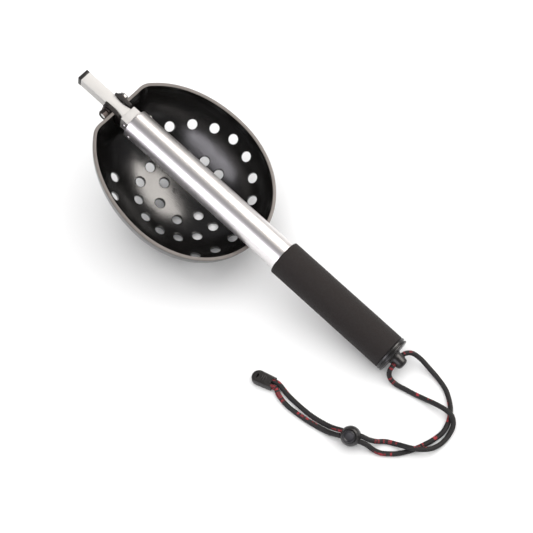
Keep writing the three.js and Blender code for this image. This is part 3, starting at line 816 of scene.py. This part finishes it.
def make_fasteners():
    at = (PIVOT_AT, 0, 0)
    shank = moved(thread(-13.6, 9.0, BOLT_RADIUS), Matrix.Translation(at))
    profile = [(8.6, 0), (8.6, 2.4), (9.6, 2.4), (9.6, 4.6, 0.3), (10.9, 4.6, 0.8)]
    profile += [(12.7, 3.4, 1.4), (13.3, 0)]
    head = turned(profile, 64, axis="y", at=at)
    socket, _ = hexagon(3.0, 10.9, 14.5, PIVOT_AT)
    mesh = carved("bolt", head, [socket], [shank])
    dress("bolt", mesh, HANDLE, "bowl", "bolt", ["hinge_bolt"])
    prism, cone = hexagon(7.97, -14.2, -9.6, PIVOT_AT)
    bore = turned([(-16, 0), (-16, 2.8), (-8, 2.8), (-8, 0)], 48, axis="y", at=at)
    seat = turned([(-15, 0), (-15, 3.5), (-12.8, 3.5), (-12.8, 0)], 48, axis="y", at=at)
    nut = crossed("nut", prism, cone, [bore, seat])
    dress("nut", nut, HANDLE, "bowl", "nut", ["hinge_nut"])
    profile = [(-13.9, 2.62), (-13.9, 3.42, 0.15), (-12.85, 3.42), (-12.85, 2.62)]
    collar = turned(profile, 48, True, "y", at)
    piece("nut_collar", collar, HANDLE, "bowl", "nylon")
    for name, start in (("head_washer", 8.3), ("nut_washer", -9.3)):
        profile = [(start, 2.8), (start, 5.4, 0.25), (start + 1, 5.4, 0.25), (start + 1, 2.8)]
        ring = turned(profile, 72, True, "y", at)
        piece(name + "_ring", ring, HANDLE, "bowl", "nut", [name])


make_bracket()
make_fasteners()

# ---- Bar, block and tube ------------------------------------------------------------------
BAR_START = -56.3
BAR_END = 34.0
BAR_WALL = 1.3
CAP_END = -59.6
BLOCK_HALF = 7.65
BLOCK_START = -9.7
TUBE_START = -1.3
TUBE_END = 272.7
TUBE_RADIUS = 12.5
TUBE_BORE = 11.0
TAIL_END = 30.0
BORE_HALF = 5.4


def square_ring(x, half_y, half_z, corner, steps=4):
    """A rounded rectangle across the handle."""
    ring = []
    for quarter in range(4):
        sign_y = (1, -1, -1, 1)[quarter]
        sign_z = (1, 1, -1, -1)[quarter]
        for k in range(steps + 1):
            angle = math.pi / 2 * (quarter + k / steps)
            ring.append((x, sign_y * (half_y - corner) + corner * math.cos(angle),
                         sign_z * (half_z - corner) + corner * math.sin(angle)))
    return ring


def make_bar():
    count = 40
    places = [BAR_START, BAR_START + 0.15]
    places += [WAIST_AT + WAIST_HALF * (2 * k / count - 1) for k in range(count + 1)]
    places += [BAR_END - 0.15, BAR_END]
    inner = BAR_HALF - BAR_WALL
    outside = [square_ring(x, BAR_HALF - waist(x), BAR_HALF, 0.7) for x in places]
    inside = [square_ring(x, inner - waist(x), inner, 0.2) for x in reversed(places)]
    shape = loft(outside + inside, closed=True)
    bolt_hole = turned([(-9, 0), (-9, 2.8), (9, 2.8), (9, 0)], 40, axis="y", at=(PIVOT_AT, 0, 0))
    rivet_hole = turned([(-9, 0), (-9, 1.6), (9, 1.6), (9, 0)], 32, axis="y", at=(-5.6, 0, 0))
    mesh = carved("square_bar", shape, [bolt_hole, rivet_hole])
    dress("square_bar", mesh, HANDLE, "handle", "bar", ["pivot_bar"])
    plug = BAR_HALF - BAR_WALL - 0.3
    flange = rounded_box((CAP_END, -BAR_HALF - 0.1, -BAR_HALF - 0.1),
                         (BAR_START - 0.12, BAR_HALF + 0.1, BAR_HALF + 0.1), 0.55)
    stem = rounded_box((CAP_END + 1, -plug, -plug), (BAR_START + 8, plug, plug), 0.4)
    mesh = carved("end_cap", flange, [], [stem])
    dress("end_cap", mesh, HANDLE, "handle", "cap", ["bar_end_cap"])


def make_block():
    head = rounded_box((BLOCK_START, -BLOCK_HALF, -BLOCK_HALF), (2, BLOCK_HALF, BLOCK_HALF), 0.45)
    tail_radius = TUBE_BORE - 0.3
    tail = turned([(TUBE_START + 0.3, 0), (TUBE_START + 0.3, tail_radius), (TAIL_END, tail_radius),
                   (TAIL_END, 0)], 96)
    bore = rounded_box((BLOCK_START - 5, -BORE_HALF, -BORE_HALF), (TAIL_END + 5, BORE_HALF, BORE_HALF), 0.6)
    holes = [turned([(-15, 0), (-15, 1.6), (15, 1.6), (15, 0)], 32, axis="y", at=(x, 0, 0))
             for x in (-5.6, 3.9)]
    mesh = carved("square_block", head, [bore, *holes], [tail])
    dress("square_block", mesh, HANDLE, "handle", "bar", ["sleeve_block"])


def make_rivet(name, x, side, face, tall=1.0):
    """A domed rivet on a face at the distance given, on the side given (1 or -1)."""
    profile = [(face - 4.5, 0), (face - 4.5, 1.3), (face + 0.05, 1.3), (face + 0.05, 1.9, 0.1)]
    profile += [(face + 0.3 * tall, 1.95, 0.2), (face + 0.1 + 0.85 * tall, 1.25, 0.5)]
    profile.append((face + 0.15 + 0.95 * tall, 0))
    turn = Matrix.Rotation(0 if side > 0 else math.pi, 4, "Z")
    shape = moved(turned(profile, 48, axis="y"), Matrix.Translation((x, 0, 0)) @ turn)
    piece(name + "_head", shape, HANDLE, "handle", "bolt", [name])


def make_tube():
    profile = [(TUBE_START, TUBE_BORE, 0.25), (TUBE_START, TUBE_RADIUS, 0.35)]
    profile.append((TUBE_START + 2, TUBE_RADIUS))
    profile += [(TUBE_START + k * (TUBE_END - TUBE_START) / 24, TUBE_RADIUS) for k in range(1, 24)]
    profile += [(TUBE_END, TUBE_RADIUS), (TUBE_END, TUBE_BORE)]
    hole = turned([(-15, 0), (-15, 1.6), (15, 1.6), (15, 0)], 32, axis="y", at=(3.9, 0, 0))
    mesh = carved("round_tube", turned(profile, 160, closed=True), [hole])
    dress("round_tube", mesh, HANDLE, "handle", "tube", ["handle_tube"])
    for side, label in ((1, "left"), (-1, "right")):
        make_rivet(f"block_rivet_{label}", -5.6, side, BLOCK_HALF)
        make_rivet(f"tube_rivet_{label}", 3.9, side, TUBE_RADIUS, 1.7 if side > 0 else 1.0)


make_bar()
make_block()
make_tube()

# ---- Grip and butt ------------------------------------------------------------------------
GRIP_START = 161.0
GRIP_END = 273.0
GRIP_RADIUS = 15.0
GRIP_EASE = 1.5  # the rounding of its front edge
BUTT_RADIUS = 15.3
BUTT_FACE = 277.8
EYE_AT = 282.4  # the cord's eye through the nub


def make_grip():
    """A foam sleeve with a rounded front edge; its ground skin is a little uneven."""
    sides, steps = 200, 220
    bore = TUBE_RADIUS + 0.05
    profile = [(GRIP_START + 0.7, bore), (GRIP_START + 0.2, bore + 0.35), (GRIP_START, bore + 0.9)]
    for k in range(7):
        angle = math.pi / 2 * k / 6
        x = GRIP_START + GRIP_EASE * (1 - math.cos(angle))
        profile.append((x, GRIP_RADIUS - GRIP_EASE * (1 - math.sin(angle))))
    length = GRIP_END - 0.8 - GRIP_START - GRIP_EASE
    profile += [(GRIP_START + GRIP_EASE + k * length / steps, GRIP_RADIUS) for k in range(1, steps + 1)]
    profile += [(GRIP_END - 0.25, GRIP_RADIUS - 0.18), (GRIP_END, GRIP_RADIUS - 0.7), (GRIP_END, bore)]
    rings = []
    for x, r in profile:
        ring = []
        for i in range(sides):
            angle = 2 * math.pi * i / sides
            way = Vector((x, r * math.cos(angle), r * math.sin(angle)))
            rough = 0.05 * noise.noise(way * 1.3) + 0.06 * noise.noise(way * 0.12)
            grow = 1 + rough / r if r > bore + 1 else 1
            ring.append((x, way.y * grow, way.z * grow))
        rings.append(ring)
    shape = loft(rings, closed=True)
    made = piece("grip_sleeve", shape, HANDLE, "handle", "foam", ["foam_grip"])


def make_butt():
    tail_radius = TUBE_BORE - 0.3
    profile = [
        (252, 0), (252, tail_radius, 0.5), (GRIP_END + 0.15, tail_radius), (GRIP_END + 0.15, 15.1, 0.3),
        (GRIP_END + 0.7, BUTT_RADIUS, 0.3), (275.1, BUTT_RADIUS, 0.3), (275.4, 14.5, 0.2),
        (276.0, 14.5, 0.2), (276.3, 15.15, 0.3), (BUTT_FACE - 0.4, 15.1, 0.5), (BUTT_FACE, 14.2, 0.5),
        (BUTT_FACE - 0.25, 9.0, 1.0), (BUTT_FACE, 6.6, 1.0), (279.2, 5.7, 1.2), (284.2, 5.25, 1.0),
        (287.3, 4.7, 1.2), (288.5, 3.0, 1.4), (288.6, 0),
    ]
    flared = [(-9, 5.2), (-6.2, 3.6, 1.2), (-4.2, 2.6, 1.2), (4.2, 2.6, 1.2), (6.2, 3.6, 1.2), (9, 5.2)]
    points, faces = turned(flared, 48, axis="y", at=(EYE_AT, 0, 0))
    ends = [tuple(range(48)), tuple(range(len(points) - 48, len(points)))]
    eye = points, faces + ends
    mesh = carved("butt_plug", turned(profile, 144), [eye])
    dress("butt_plug", mesh, HANDLE, "handle", "butt", ["butt_cap"])


make_grip()
make_butt()

# ---- Cord lock ----------------------------------------------------------------------------
LOCK_RADIUS = 8.0
BUTTON_RADIUS = 4.7
WIRE_RADIUS = 0.3


def make_lock():
    angles = [math.pi * k / 48 for k in range(49)]
    sweep = [(-LOCK_RADIUS * math.cos(angle), LOCK_RADIUS * math.sin(angle)) for angle in angles]
    ball = [(z, radius) for z, radius in sweep if z < 4.7]
    ball += [(4.85, 6.3), (5.0, 6.1), (5.0, 0)]
    bore = turned([(-5.3, 0), (-5.3, 5.5, 0.4), (12, 5.5), (12, 0)], 96, axis="z")
    channel = rounded_box((-9, -4.6, -2.35), (9, 4.6, 2.35), 0.9)
    mesh = carved("lock_ball", turned(ball, 96, axis="z"), [bore, channel], bevel=0.3)
    dress("lock_ball", mesh, LOCK, "handle", "lock", ["lock_body"])
    profile = [(5.3, 5.0), (5.3, 6.4, 0.2), (6.1, 6.4, 0.5), (6.9, 5.7, 0.5), (6.9, 5.0, 0.2)]
    ring = turned(profile, 96, True, "z")
    piece("lock_collar", ring, LOCK, "handle", "lock", ["lock_ring"])
    dish = turned([(-3, 0), (-3, 5.2, 0.4), (5, 5.2, 0.3), (5.2, BUTTON_RADIUS, 0.3),
                   (8.8, BUTTON_RADIUS, 0.6), (9.3, 4.2, 0.4), (9.25, 3.7, 0.4), (8.6, 3.1, 0.6),
                   (8.5, 1.6, 1.0), (8.45, 0)], 96, axis="z")
    window = rounded_box((-9, -4.5, -2.3), (9, 4.5, 4.65), 0.6)
    mesh = carved("lock_push", dish, [window], bevel=0.15)
    dress("lock_push", mesh, LOCK, "lock_button", "button", ["lock_button"])
    turns, steps = 1.5, 90
    coil = []
    for k in range(steps + 1):
        angle = 2 * math.pi * turns * k / steps
        middle = Vector((3.6 * math.cos(angle), 3.6 * math.sin(angle), k / steps - 4.65))
        out = Vector((math.cos(angle), math.sin(angle), 0))
        round_wire = [2 * math.pi * i / 12 for i in range(12)]
        coil.append([tuple(middle + WIRE_RADIUS * (math.cos(a) * out + Vector((0, 0, math.sin(a)))))
                     for a in round_wire])
    piece("lock_coil", loft(coil), LOCK, "handle", "bolt", ["lock_spring"])


make_lock()

# ---- Cord-end clip ------------------------------------------------------------------------
CLIP_LENGTH = 19.0
CLIP_HALF = 5.8


def clip_outline(inset):
    """The clip seen from above: square at the mouth, round at the tip."""
    tip = CLIP_LENGTH - CLIP_HALF
    points = [(inset, -CLIP_HALF + 0.5 + inset)]
    for k in range(33):
        angle = -math.pi / 2 + math.pi * k / 32
        reach = CLIP_HALF - inset
        points.append((tip + reach * math.cos(angle), reach * math.sin(angle)))
    points.append((inset, CLIP_HALF - 0.5 - inset))
    return points


def clip_half(side):
    """One shell: z from the parting line to its outer face, with a rounded edge."""
    layers = [(0.1, 0.05), (0.03, 0.2), (0.0, 0.5), (0.0, 1.4), (0.12, 2.0)]
    layers += [(0.4, 2.45), (0.85, 2.75), (1.5, 2.9), (2.6, 2.95)]
    rings = [[(x, y, side * z) for x, y in clip_outline(inset)] for inset, z in layers]
    return loft(rings)


def make_clip():
    throat = rounded_box((-2, -4.5, -2.35), (4.6, 4.5, 2.35), 0.9)
    lip = rounded_box((-3, -3.5, 0.4), (2.3, 3.5, 5), 1.1)
    slot = rounded_box((13.5, -1.9, -5), (15.1, 1.9, 5), 0.4)
    ribs = [rounded_box((x, -2.9, 2.4), (x + 0.75, 2.9, 3.2), 0.22) for x in (7.0, 8.7, 10.4)]
    cover = carved("clip_top", clip_half(1), [throat, lip, slot], ribs)
    dress("clip_top", cover, CLIP, "handle", "clip", ["clip_cover"])
    base = carved("clip_under", clip_half(-1), [throat, slot])
    dress("clip_under", base, CLIP, "handle", "clip", ["clip_base"])


make_clip()


# ---- Floor and light ----------------------------------------------------------------------
def make_floor():
    """A square of pale paper; past its edge the camera sees the white of the room."""
    mesh = bpy.data.meshes.new("floor")
    half = 1.5
    corners = [(-half, -half, 0), (half, -half, 0), (half, half, 0), (-half, half, 0)]
    mesh.from_pydata(corners, [], [(0, 1, 2, 3)])
    made = bpy.data.objects.new("floor", mesh)
    bpy.context.scene.collection.objects.link(made)
    paper = Finish("floor_paper", (0.86, 0.86, 0.86), 0.9)
    mesh.materials.append(paper.material)


def softbox(name, toward, distance, width, height, radiance, color, mirrored):
    """A rectangular light that faces the object, seen in reflections or else lighting matt surfaces.

    Its radiance is relative to full white.
    """
    data = bpy.data.lights.new(name, "AREA")
    data.shape, data.size, data.size_y = "RECTANGLE", width, height
    data.energy = math.pi * width * height * radiance
    data.color = color
    made = bpy.data.objects.new(name, data)
    bpy.context.scene.collection.objects.link(made)
    way = Vector(toward).normalized()
    made.location = way * distance
    made.rotation_euler = way.to_track_quat("Z", "Y").to_euler()
    made.visible_camera = False
    made.visible_glossy = mirrored
    made.visible_diffuse = not mirrored


def make_world():
    world = bpy.data.worlds.new("studio")
    world.use_nodes = True
    tree = world.node_tree
    tree.nodes.clear()
    out = tree.nodes.new("ShaderNodeOutputWorld")
    mix = tree.nodes.new("ShaderNodeMixShader")
    path = tree.nodes.new("ShaderNodeLightPath")
    room = tree.nodes.new("ShaderNodeBackground")
    seen = tree.nodes.new("ShaderNodeBackground")
    room.inputs["Color"].default_value = (0.96, 0.97, 1.0, 1.0)
    room.inputs["Strength"].default_value = 0.2
    seen.inputs["Color"].default_value = (1, 1, 1, 1)
    seen.inputs["Strength"].default_value = 1.0
    tree.links.new(path.outputs["Is Camera Ray"], mix.inputs["Fac"])
    tree.links.new(room.outputs[0], mix.inputs[1])
    tree.links.new(seen.outputs[0], mix.inputs[2])
    tree.links.new(mix.outputs[0], out.inputs[0])
    bpy.context.scene.world = world


make_floor()
make_world()
softbox("warm_key", (0.34, 0.62, 0.71), 1.6, 1.3, 1.0, 8.0, (1.0, 0.95, 0.90), True)
softbox("cool_side", (0.05, -0.87, 0.49), 1.5, 1.4, 0.8, 5.0, (0.96, 0.93, 1.0), True)
softbox("overhead", (0.06, 0.16, 1.0), 1.6, 4.0, 4.0, 1.95, (1.0, 0.995, 0.99), False)
bpy.context.scene.view_settings.view_transform = "Standard"
